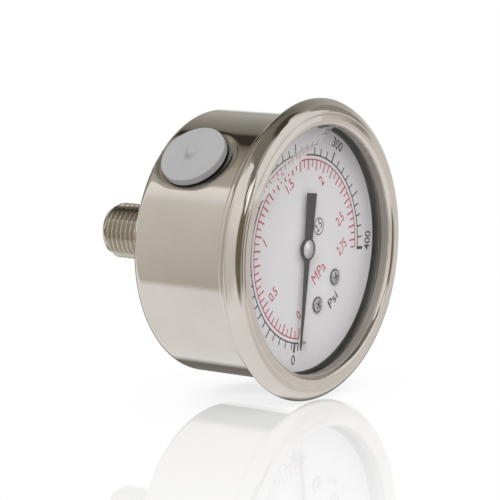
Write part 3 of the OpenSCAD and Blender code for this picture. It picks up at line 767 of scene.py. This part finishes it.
def inner_block(z):
    """The socket's flange inside the body and the block that holds the spring tube's root."""
    line = [(2.9, z), (16.0, z), (16.0, z + 1.6), (2.9, z + 1.6), (2.9, z)]
    flange = spun("inner_flange", supported(line), 96)
    top = -reach("socket", 1, 0)
    holder = block((14, top - z, 32), (0, -(z + top) / 2, -8))
    open_mesh()
    bpy.ops.mesh.bevel(offset=0.3 * MM, segments=2, affect="EDGES")
    bpy.ops.object.mode_set(mode="OBJECT")
    return joined("inner_block", flange, holder)


class GAUGE_OT_spring_tube(bpy.types.Operator):
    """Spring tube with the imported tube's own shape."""

    bl_idname = "gauge.spring_tube"
    bl_label = "Spring tube"

    def execute(self, context):
        piece = bpy.data.objects.new("spring_tube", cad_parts["bourdon_tube"].data.copy())
        context.collection.objects.link(piece)
        piece.data.name = piece.name
        pick(piece)
        open_mesh()
        bpy.ops.mesh.remove_doubles(threshold=2e-6)
        bpy.ops.object.mode_set(mode="OBJECT")
        finish_piece(piece, None, "tube_bronze", material_for("tube_bronze"), "bourdon_tube")
        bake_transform(piece)
        return {"FINISHED"}


class GAUGE_OT_filling_plug(bpy.types.Operator):
    """Rubber filling plug: a thin disc with a small nipple, standing on its neck in the seat."""

    bl_idname = "gauge.filling_plug"
    bl_label = "Filling plug"

    def execute(self, context):
        sizes = context.scene.gauge_sizes
        seat, top = sizes.seat_height / MM, (sizes.seat_height + sizes.plug_height) / MM
        rim = 1.85
        line = [(0, seat - 2.3), (4.3, seat - 2.3), (5.9, seat - 1.2), (5.9, seat - 0.75)]
        line += [(5.45, seat - 0.75), (5.45, seat), (PLUG_R - 0.6, seat), (PLUG_R - 0.6, top - rim)]
        line += arc(PLUG_R - 0.1, top - rim + 0.15, 0.15, -90, 0, 3)
        line += arc(PLUG_R - 0.17, top - 0.22, 0.22, 0, 80, 5)
        line += [(PLUG_R - 0.5, top - 0.02), (PLUG_R - 0.7, top - 0.06), (2.0, top - 0.06), (1.7, top + 0.02)]
        line += [(1.5, top + 0.3), (1.35, top + 0.7)] + arc(0, top + 0.45, 1.25, 25, 90, 6)
        piece = spun("filling_plug_rubber", supported(line, near=0.15), 160, on_plug,
                     (0, PLUG_Y * MM, 0), (0, 0, 1))
        piece.data.transform(Matrix.Rotation(-sizes.plug_turn, 4, "Y"))
        finish_piece(piece, "housing", "plug_rubber", material_for("plug_rubber"), "filling_plug", angle=40)
        return {"FINISHED"}


class GAUGE_OT_window_liquid(bpy.types.Operator):
    """Window and liquid in one clear piece, with the air space over the liquid cut out of it."""

    bl_idname = "gauge.window_liquid"
    bl_label = "Window and liquid"

    def execute(self, context):
        sizes = context.scene.gauge_sizes
        # It reaches a little into the steel and the gasket, so that no film of air shines between them
        inside = (sizes.body_radius - sizes.sheet) / MM + 0.15
        back = Z_REAR + 0.5
        edge = WINDOW_R + 0.12
        line = [(0, back), (inside - 1.7, back), (inside, back + 1.7), (inside, Z_GASKET - 0.15)]
        line += [(edge, Z_GASKET - 0.15), (edge, Z_GLASS - 0.3), (edge - 0.3, Z_GLASS), (0, Z_GLASS)]
        piece = spun("window_and_liquid", line, 256)
        deep, high = Z_GASKET - back + 1, 20
        air = block((80, deep, high), (0, -(Z_GASKET - deep / 2), sizes.level / MM + high / 2))
        air.data.transform(Matrix.Rotation(sizes.level_lean, 4, "Y"))
        cut(piece, air)
        finish_piece(piece, "housing", "window_glass", material_for("clear_liquid"), "window", "liquid_fill")
        return {"FINISHED"}


# The dial's print
PRINT = 0.03


def clock(radius, angle, z=None):
    """A point on the dial at this radius and clock angle in degrees."""
    a = math.radians(angle)
    return Vector((radius * math.sin(a), -(Z_DIAL if z is None else z), radius * math.cos(a))) * MM


def mark(width, r0, r1, angles):
    """Straight marks from radius r0 to r1 at these clock angles, as one object."""
    first = block((width, PRINT, r1 - r0), (0, -Z_DIAL, (r0 + r1) / 2))
    copies = [first]
    for angle in angles[1:]:
        copy = bpy.data.objects.new("mark", first.data.copy())
        bpy.context.scene.collection.objects.link(copy)
        copy.data.transform(Matrix.Rotation(math.radians(angle), 4, "Y"))
        copies.append(copy)
    first.data.transform(Matrix.Rotation(math.radians(angles[0]), 4, "Y"))
    return joined("marks", *copies)


def band(radius, width, start, end):
    """A thin printed arc of this width from clock angle start to end."""
    most_degrees = 1.5
    count = max(2, int(abs(end - start) / most_degrees))
    pick_none()
    bpy.ops.mesh.primitive_plane_add(size=1, location=(0, 0, 0), rotation=(0, math.pi / 2, 0))
    piece = bpy.context.object
    piece.scale = (width * MM, PRINT * MM, 1)
    bpy.ops.object.transform_apply(location=True, rotation=True, scale=True)
    piece.data.transform(Matrix.Translation((0, -Z_DIAL * MM, radius * MM)))
    piece.data.transform(Matrix.Rotation(math.radians(start), 4, "Y"))
    open_mesh()
    bpy.ops.mesh.spin(steps=count, angle=-math.radians(end - start), center=(0, 0, 0), axis=AXIS)
    bpy.ops.mesh.select_all(action="SELECT")
    bpy.ops.mesh.remove_doubles(threshold=1e-7)
    bpy.ops.mesh.normals_make_consistent(inside=False)
    bpy.ops.object.mode_set(mode="OBJECT")
    return piece


def word(text, size, radius, angle, turn=0.0, wide=1.0, bold=0.035):
    """Print at a radius and clock angle, turned clockwise by turn degrees, its figures size mm high."""
    type_size = 1.38
    pick_none()
    bpy.ops.object.text_add(location=(0, 0, 0))
    piece = bpy.context.object
    piece.data.body = text
    piece.data.align_x = "CENTER"
    piece.data.align_y = "CENTER"
    piece.data.size = size * type_size
    piece.data.extrude = PRINT / 2
    piece.data.offset = bold
    bpy.ops.object.convert(target="MESH")
    piece = bpy.context.object
    piece.data.transform(Matrix.Diagonal((wide, 1, 1, 1)))
    piece.data.transform(Matrix.Rotation(math.pi / 2, 4, "X"))
    piece.data.transform(Matrix.Rotation(math.radians(turn), 4, "Y"))
    piece.data.transform(Matrix.Diagonal((MM, MM, MM, 1)))
    piece.data.transform(Matrix.Translation(clock(radius, angle)))
    return piece


class GAUGE_OT_stop_pin(bpy.types.Operator):
    """Small pin that stands on the dial a little before zero, outside the pointer's sweep."""

    bl_idname = "gauge.stop_pin"
    bl_label = "Stop pin"

    def execute(self, context):
        radius, top = 0.35, Z_DIAL + 1.9
        line = [(0, Z_DIAL), (radius, Z_DIAL)] + arc(radius - 0.1, top - 0.1, 0.1, 0, 90, 3) + [(0, top)]
        piece = spun("stop_pin", line, 32)
        piece.data.transform(Matrix.Translation(clock(21.4, 221.0, 0)))
        finish_piece(piece, "housing", "fastener_steel", material_for("pin_steel"))
        return {"FINISHED"}


class GAUGE_OT_dial_print(bpy.types.Operator):
    """Printed scales of the dial: a black outer scale in psi and a red inner scale in MPa."""

    bl_idname = "gauge.dial_print"
    bl_label = "Dial print"

    def execute(self, context):
        zero, sweep, full_psi = 225.6, 268.3, 400.0
        psi_per_mpa = 145.038
        black_r, red_r = 21.5, 20.45

        def at_psi(value):
            return zero + sweep * value / full_psi

        def at_mpa(value):
            return at_psi(value * psi_per_mpa)

        minor = [p for p in range(10, 400, 10) if p % 50]
        black = [
            band(black_r, 0.34, zero, zero + sweep),
            mark(0.36, black_r, black_r + 1.7, [at_psi(p) for p in minor]),
            mark(0.38, black_r, black_r + 2.6, [at_psi(p) for p in range(50, 400, 100)]),
            mark(0.5, black_r, black_r + 2.6, [at_psi(p) for p in range(100, 400, 100)]),
            mark(0.7, black_r - 0.15, black_r + 2.2, [at_psi(400), 229.4]),
            mark(0.36, black_r - 0.1, black_r + 1.7, [zero]),
            word("0", 2.3, 25.5, 229.3, 45),
            word("100", 2.3, 25.9, at_psi(100), at_psi(100) - 360, 0.9),
            word("200", 2.3, 25.9, at_psi(200), 0, 0.9),
            word("300", 2.3, 26.0, 67.2, 65, 0.95),
            word("400", 2.3, 25.9, 130.2, -43, 0.95),
            word("Psi", 2.4, 17.4, 177.5, 0, 1.2),
            word("2.5", 2.2, 7.0, 86.4, 0, 0.75),
        ]
        ring = band(1.9, 0.28, 0, 360)
        ring.data.transform(Matrix.Translation(clock(7.0, 86.4, 0)))
        black.append(ring)
        red = [
            band(red_r, 0.3, zero, at_mpa(2.75)),
            mark(0.34, red_r - 1.75, red_r, [at_mpa(0.05 * i) for i in range(1, 56, 2)]),
            mark(0.4, red_r - 2.4, red_r, [at_mpa(0.1 * i) for i in range(28)]),
            word("0", 2.3, 15.1, 228.3, 0, 0.8),
            word("0.5", 2.4, 15.5, 273.8, 0, 0.8),
            word("1", 2.5, 16.4, 319.2, 0, 0.8),
            word("1.5", 2.6, 16.3, 14, 0, 0.8),
            word("2", 2.6, 16.3, 60.9, 0, 0.8),
            word("2.5", 2.5, 15.05, 107.5, 0, 0.72),
            word("2.75", 2.6, 15.0, 133, 0, 0.66),
            word("MPa", 3.0, 8.14, 177.5, 0, 0.85, 0.004),
        ]
        for name, parts, ink in (("black_scale", black, "black_ink"), ("red_scale", red, "red_ink")):
            piece = joined(name, *parts)
            finish_piece(piece, "housing", "dial_paint", material_for(ink), angle=20)
        return {"FINISHED"}


# The finish of each CAD piece, also of those that a modelled piece replaces
FINISHES = {
    "turned_socket": ["socket", "restrictor_screw"],
    "dial_screw": ["dial_screw_left", "dial_screw_right"],
    "screw_steel": ["rear_screw_1", "rear_screw_2", "rear_screw_3", "movement_screw_1", "movement_screw_2"],
    "pin_steel": ["tip_pin", "tail_pin", "sector_arbor", "centre_arbor", "tube_tip"],
    "movement_brass": ["dial_post_left", "dial_post_right", "link", "sector_gear", "hairspring_collet",
                       "hairspring_stud", "back_plate", "front_plate", "pillar_1", "pillar_2", "pillar_3"],
    "tube_bronze": ["bourdon_tube", "hairspring"],
    "cap_aluminium": ["pointer_cap"],
    "gasket_rubber": ["window_gasket"],
    "seal_rubber": ["socket_seal"],
    "dial_paint": ["dial"],
    "pointer_enamel": ["pointer"],
    "polished_steel": ["body_shell"],
    "bezel_steel": ["bezel_ring"],
    "plug_rubber": ["filling_plug"],
    "clear_liquid": ["window", "liquid_fill"],
}


class GAUGE_OT_node_finishes(bpy.types.Operator):
    """Finishes of the CAD pieces, such as the screws, the pointer and the movement."""

    bl_idname = "gauge.node_finishes"
    bl_label = "Finishes"

    def execute(self, context):
        for finish, names in FINISHES.items():
            for name in names:
                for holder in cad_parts[name].material_slots:
                    holder.material = material_for(finish)
        return {"FINISHED"}


# The studio; its middle is the bezel's, at this station along the gauge's axis
Z_BEZEL = 56.47


def studio_turn(roll):
    """The matrix that turns the studio's right, back and up directions into the gauge's frame."""
    return Matrix.Rotation(roll, 3, "Y")


def studio_point(roll, x, y, z):
    """A place in the studio, in millimetres from the middle of the bezel, in the gauge's frame."""
    return studio_turn(roll) @ Vector((x, y - Z_BEZEL, z)) * MM


def stops(pairs):
    """Ramp stops from (angle in degrees, colour) pairs."""
    return [((angle + 180) / 360, colour) for angle, colour in pairs]


# The room that the steel shows, behind the gauge and before its dial. The angles go round the gauge's axis:
# 0 degrees is at the studio's left, and 90 at its top
BEHIND = stops([
    (-180, (1.0, 1.0, 1.0)), (-169, (1.0, 1.0, 1.0)), (-166, (0.22, 0.21, 0.19)), (-129, (0.20, 0.19, 0.17)),
    (-119, (1.0, 1.0, 1.0)), (-36, (1.0, 1.0, 1.0)), (-31, (0.63, 0.60, 0.54)), (33, (0.80, 0.785, 0.73)),
    (40, (0.84, 0.82, 0.77)), (46, (1.0, 1.0, 1.0)), (55, (1.15, 1.13, 1.10)), (58, (0.56, 0.54, 0.49)),
    (74, (0.52, 0.50, 0.44)), (82, (0.41, 0.385, 0.31)), (93, (0.31, 0.29, 0.23)), (99, (0.21, 0.19, 0.145)),
    (104, (0.05, 0.045, 0.035)), (115, (0.045, 0.04, 0.03)), (120, (0.24, 0.235, 0.20)),
    (156, (0.52, 0.51, 0.47)), (166, (0.45, 0.44, 0.40)), (174, (0.9, 0.9, 0.88)), (180, (1.0, 1.0, 1.0))])

BEFORE = stops([
    (-180, (0.80, 0.77, 0.75)), (-150, (0.85, 0.83, 0.81)), (-120, (1.0, 1.0, 1.0)), (-35, (1.0, 1.0, 1.0)),
    (-20, (0.78, 0.76, 0.72)), (0, (0.80, 0.78, 0.74)), (15, (0.90, 0.88, 0.85)), (45, (1.05, 1.04, 1.02)),
    (57, (1.0, 0.99, 0.97)), (66, (0.50, 0.49, 0.45)), (75, (0.24, 0.23, 0.20)), (120, (0.20, 0.19, 0.16)),
    (150, (0.5, 0.48, 0.45)), (180, (0.80, 0.77, 0.75))])

# Panels and openings of the room in front of the dial: direction in the studio, full and outer angle, colour
PANELS = [
    ((-0.10, -0.99, 0.00), 17, 26, (0.20, 0.175, 0.115)),
    ((-0.21, -0.87, 0.44), 5, 9, (0.12, 0.115, 0.085)),
    ((0.36, -0.89, 0.27), 7, 12, (0.26, 0.25, 0.21)),
    ((0.27, -0.95, -0.16), 3, 7, (0.52, 0.50, 0.44)),
    ((0.43, -0.90, -0.10), 4, 7, (0.17, 0.16, 0.13)),
    ((0.66, -0.74, 0.16), 6, 12, (0.25, 0.24, 0.20)),
    ((0.87, -0.45, 0.28), 8, 15, (0.36, 0.35, 0.31)),
    ((0.22, -0.83, 0.52), 7, 11, (0.50, 0.49, 0.45)),
    ((0.48, -0.75, 0.46), 5, 9, (0.15, 0.14, 0.12)),
    ((0.65, -0.59, 0.48), 5, 9, (0.85, 0.83, 0.80)),
    ((0.42, -0.50, 0.76), 9, 15, (0.07, 0.065, 0.05)),
    ((0.28, -0.54, 0.79), 1, 3, (0.80, 0.78, 0.74)),
    ((0.56, -0.52, 0.65), 1, 3, (0.70, 0.68, 0.62)),
    ((-0.14, -0.97, -0.14), 1, 3, (0.05, 0.045, 0.03)),
    ((0.75, -0.61, -0.25), 22, 25, (0.82, 0.79, 0.76)),
    ((0.07, -0.96, 0.28), 4, 7, (1.6, 1.6, 1.6)),
    ((-0.10, -0.91, 0.40), 3, 6, (1.2, 1.2, 1.2)),
]


class GAUGE_OT_studio(bpy.types.Operator):
    """Studio: a white table and surroundings, long soft panels for the steel to show, lamps and a camera."""

    bl_idname = "gauge.studio"
    bl_label = "Studio"

    def execute(self, context):
        studio = context.scene.gauge_studio
        self.add_camera(context, studio)
        self.add_world(context, studio)
        self.add_table(studio)
        self.add_lamps(context, studio)
        context.scene.view_settings.view_transform = "Standard"
        return {"FINISHED"}

    def add_camera(self, context, studio):
        """A camera at the place solved from the photo, aimed at the middle of its picture."""
        data = bpy.data.cameras.new("camera")
        data.lens = studio.lens
        data.sensor_width = 36
        data.clip_start = 0.01
        data.clip_end = 50
        camera = bpy.data.objects.new("camera", data)
        context.scene.collection.objects.link(camera)
        side, over = Vector((0.5551, -0.8318, 0.0017)), Vector((0.1283, 0.0877, 0.9879))
        ahead = Vector((0.8218, 0.5481, -0.1554))
        # The picture's middle lies this far left of the solved axis and above it; all three are in pixels
        left, higher, focal = 66.79, 0.38, 2487.2
        ahead = (ahead - side * (left / focal) + over * (higher / focal)).normalized()
        side = (side - ahead * side.dot(ahead)).normalized()
        turned = studio_turn(studio.roll) @ Matrix((side, side.cross(ahead), -ahead)).transposed()
        place = studio_point(studio.roll, -463.03, -308.83, 87.55)
        camera.matrix_world = Matrix.Translation(place) @ turned.to_4x4()
        context.scene.camera = camera

    def add_world(self, context, studio):
        """White for the camera and the mirror image, the room for the steel, and daylight for the rest."""
        right, back, up = studio_turn(studio.roll).transposed()
        world = bpy.data.worlds.new("studio")
        context.scene.world = world
        world.use_nodes = True
        tree = world.node_tree
        tree.nodes.clear()
        direction = add(tree, "ShaderNodeTexCoord").outputs["Generated"]

        def along(axis):
            return vector_node(tree, "DOT_PRODUCT", direction, axis)

        turn = math_node(tree, "ARCTAN2", along(up), along(-right))
        place = math_node(tree, "MULTIPLY_ADD", turn, 1 / (2 * math.pi), 0.5)
        behind, before = ramp(tree, place, BEHIND), ramp(tree, place, BEFORE)
        for centre, full, outer, colour in PANELS:
            near = along(right * centre[0] + back * centre[1] + up * centre[2])
            limits = math.cos(math.radians(outer)), math.cos(math.radians(full))
            before = mixed(tree, spread(tree, near, *limits, smooth=True), before, colour)
        panels = mixed(tree, spread(tree, along(back), -0.1, 0.3, smooth=True), before, behind)
        height = math_node(tree, "MULTIPLY_ADD", along(up), 0.5, 0.5)
        day = studio.daylight
        plain = ramp(tree, height, [(0.0, day * 0.92), (0.6, day), (1.0, day * 1.12)])
        path = add(tree, "ShaderNodeLightPath")
        seen = math_node(tree, "MAXIMUM", path.outputs["Is Camera Ray"], path.outputs["Is Transmission Ray"])
        through_film = math_node(tree, "GREATER_THAN", path.outputs["Transparent Depth"], 0.5)
        upwards = math_node(tree, "GREATER_THAN", along(up), 0.0)
        mirrored = math_node(tree, "MULTIPLY", through_film, upwards)
        colour = mixed(tree, path.outputs["Is Glossy Ray"], plain, panels)
        colour = mixed(tree, math_node(tree, "MAXIMUM", seen, mirrored), colour, (1.0, 1.0, 1.0))
        light = add(tree, "ShaderNodeBackground")
        link(tree, colour, light.inputs[0])
        link(tree, light.outputs[0], add(tree, "ShaderNodeOutputWorld").inputs[0])

    def add_table(self, studio):
        """A white table that mirrors the gauge, under a clear film.

        The film marks the rays that the table mirrors, which find a white room.
        """
        drop, film = 0.25, 0.15
        material, tree, out, here = new_material("white_table")
        # The white is what the camera sees; near the gauge it is darkened by the gauge's own shade
        shade_node = add(tree, "ShaderNodeAmbientOcclusion", samples=8)
        shade_node.inputs["Distance"].default_value = 0.03
        light = ramp(tree, shade_node.outputs["AO"], [(0.0, 0.72), (0.5, 0.965), (0.85, 1.0)])
        white = add(tree, "ShaderNodeEmission")
        link(tree, light, white.inputs[0])
        gloss = add(tree, "ShaderNodeBsdfGlossy", Roughness=0.02, Color=(1, 1, 1, 1))
        # The mirror image fades towards the camera, and ends just beyond the gauge's middle
        ahead = vector_node(tree, "DOT_PRODUCT", here, (0.832, 0.555, 0.0))
        fade = [math_node(tree, "MULTIPLY_ADD", ahead, slope, offset, clamp=True)
                for slope, offset in ((6.3, 0.975), (-120.0, 1.5))]
        share = math_node(tree, "MULTIPLY", math_node(tree, "MULTIPLY", *fade), studio.mirror)
        top = mix_shaders(tree, share, white.outputs[0], gloss.outputs[0])
        below = add(tree, "ShaderNodeNewGeometry").outputs["Backfacing"]
        clear = add(tree, "ShaderNodeBsdfTransparent").outputs[0]
        link(tree, mix_shaders(tree, below, top, clear), out.inputs[0])
        self.add_sheet("table", studio.roll, -BEZEL_R - drop, material, "glossy")
        material, tree, out, here = new_material("clear_film")
        link(tree, add(tree, "ShaderNodeBsdfTransparent").outputs[0], out.inputs[0])
        self.add_sheet("film", studio.roll, -BEZEL_R - drop + film, material, "camera")

    def add_sheet(self, name, roll, height, material, ray):
        """A wide level sheet in the studio, hidden from this kind of ray and from three others."""
        pick_none()
        bpy.ops.mesh.primitive_plane_add(size=6)
        sheet = bpy.context.object
        sheet.name = name
        sheet.matrix_world = Matrix.Translation(studio_point(roll, 0, 0, height)) @ studio_turn(roll).to_4x4()
        sheet.data.materials.append(material)
        for hidden in (ray, "diffuse", "transmission", "shadow"):
            setattr(sheet, "visible_" + hidden, False)

    def add_lamps(self, context, studio):
        """Two wide lamps in front of the gauge, which the steel doesn't show."""
        for name, place, size, power in (("key_lamp", (-500, -500, 700), 0.5, 4.0),
                                         ("fill_lamp", (500, -700, 300), 0.6, 1.5)):
            data = bpy.data.lights.new(name, "AREA")
            data.energy = power
            data.size = size
            lamp = bpy.data.objects.new(name, data)
            context.scene.collection.objects.link(lamp)
            lamp.location = studio_point(studio.roll, *place)
            aim = studio_point(studio.roll, 0, 10, 0) - lamp.location
            lamp.rotation_euler = aim.to_track_quat("-Z", "Y").to_euler()
            lamp.visible_glossy = False


class GAUGE_PT_pieces(bpy.types.Panel):
    """Lists the gauge's pieces, its finishes and its studio."""

    bl_label = "Gauge"
    bl_idname = "GAUGE_PT_pieces"
    bl_space_type = "VIEW_3D"
    bl_region_type = "UI"
    bl_category = "Gauge"

    def draw(self, context):
        for steps in STEPS:
            self.layout.operator(steps.bl_idname)
        for settings in (context.scene.gauge_sizes, context.scene.gauge_colours, context.scene.gauge_studio):
            for name in settings.__annotations__:
                self.layout.prop(settings, name)


STEPS = (
    GAUGE_OT_studio,
    GAUGE_OT_body_shell,
    GAUGE_OT_bezel_ring,
    GAUGE_OT_socket,
    GAUGE_OT_spring_tube,
    GAUGE_OT_filling_plug,
    GAUGE_OT_window_liquid,
    GAUGE_OT_dial_print,
    GAUGE_OT_stop_pin,
    GAUGE_OT_node_finishes,
)
CLASSES = (GaugeSizes, GaugeColours, GaugeStudio, *STEPS, GAUGE_PT_pieces)


def register():
    for kind in CLASSES:
        bpy.utils.register_class(kind)
    bpy.types.Scene.gauge_sizes = PointerProperty(type=GaugeSizes)
    bpy.types.Scene.gauge_colours = PointerProperty(type=GaugeColours)
    bpy.types.Scene.gauge_studio = PointerProperty(type=GaugeStudio)


def unregister():
    del bpy.types.Scene.gauge_studio
    del bpy.types.Scene.gauge_colours
    del bpy.types.Scene.gauge_sizes
    for kind in reversed(CLASSES):
        bpy.utils.unregister_class(kind)


def main():
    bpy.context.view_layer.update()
    register()
    for step in STEPS:
        space, name = step.bl_idname.split(".")
        getattr(getattr(bpy.ops, space), name)()


if __name__ == "__main__":
    main()
